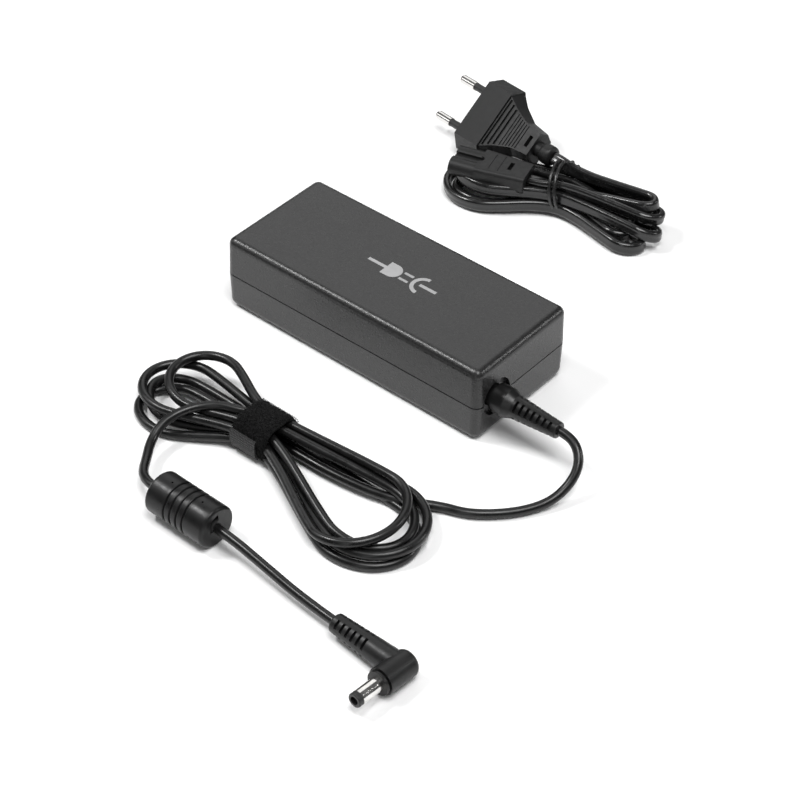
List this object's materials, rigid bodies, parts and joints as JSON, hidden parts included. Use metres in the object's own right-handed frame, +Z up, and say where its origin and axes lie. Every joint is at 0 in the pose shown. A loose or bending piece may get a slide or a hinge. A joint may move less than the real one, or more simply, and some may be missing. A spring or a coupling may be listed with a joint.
{
  "type": "laptop power adapter",
  "caption": "Moulded switch-mode power brick with a strapped barrel-plug lead and ferrite bead, and a loose folded figure-8 mains lead with a flat two-pin plug.",
  "frame": {"origin": "the middle of the brick's underside", "axes": "+X along the brick towards the DC lead's end, +Y to its back long side, +Z up; the leads lie on the plane z = 0"},
  "size_m": [0.1962, 0.2916, 0.0326],
  "materials": {
    "housing_upper": "fine spark-eroded texture",
    "housing_lower": "fine spark-eroded texture",
    "label": "satin film",
    "inlet_plastic": "satin",
    "nickel": "polished",
    "board": "solder mask",
    "aluminium": "mill finish",
    "film": "thin film",
    "thermal_pad": "matt",
    "component_black": "moulded epoxy",
    "component_blue": "dipped epoxy",
    "component_green": "dipped epoxy",
    "component_yellow": "moulded",
    "ferrite": "sintered",
    "copper": "enamelled wire",
    "can_sleeve": "shrink sleeve",
    "bobbin": "moulded",
    "winding_tape": "polyester tape",
    "wire_red": "PVC",
    "relief_rubber": "satin",
    "dc_cord": "satin PVC",
    "strap": "hook and loop",
    "bead_plastic": "satin",
    "plug_plastic": "satin",
    "insulator": "satin",
    "mains_cord": "glossy PVC",
    "tie": "coated wire",
    "mains_plastic": "satin PVC",
    "brass": "plain"
  },
  "bodies": {
    "adapter": {"upper_shell": "housing_upper", "lower_shell": "housing_lower", "rating_label": "label", "inlet_housing": "inlet_plastic", "inlet_pins": "nickel", "circuit_board": "board", "bottom_shield": "aluminium", "insulation_film": "film", "top_shield": "aluminium", "thermal_pad": "thermal_pad", "fuse": "component_black", "varistor": "component_blue", "ntc_thermistor": "component_green", "x_capacitor": "component_yellow", "choke_core": "ferrite", "choke_winding": "copper", "bridge_rectifier": "component_black", "bulk_capacitor": "can_sleeve", "primary_heatsink": "aluminium", "switching_transistor": "component_black", "transformer_core": "ferrite", "transformer_bobbin": "bobbin", "transformer_winding": "winding_tape", "secondary_heatsink": "aluminium", "rectifier_diode": "component_black", "output_capacitors": "can_sleeve", "output_choke": "ferrite", "optocoupler": "component_black", "y_capacitor": "component_blue", "controller_chip": "component_black", "positive_wire": "wire_red", "negative_wire": "component_black", "dc_strain_relief": "relief_rubber", "dc_cord_lead": "dc_cord", "dc_cord_coil": "dc_cord", "cable_strap": "strap", "dc_cord_link": "dc_cord", "ferrite_jacket": "bead_plastic", "ferrite_core": "ferrite", "dc_cord_tail": "dc_cord", "dc_plug_housing": "plug_plastic", "dc_plug_barrel": "nickel", "dc_plug_insulator": "insulator", "dc_plug_contact": "nickel"},
    "mains_lead": {"mains_cord_hank": "mains_cord", "twist_tie": "tie", "mains_plug_body": "mains_plastic", "mains_plug_pin_upper": "nickel", "mains_plug_pin_lower": "nickel", "mains_plug_sleeve_upper": "insulator", "mains_plug_sleeve_lower": "insulator", "mains_connector_body": "mains_plastic", "mains_connector_contacts": "brass"}
  },
  "joints": [
    {"name": "mains_lead_lift", "type": "slide", "parent": "adapter", "child": "mains_lead", "axis": [0, 0, 1], "range_m": [0, 0.15]}
  ]
}
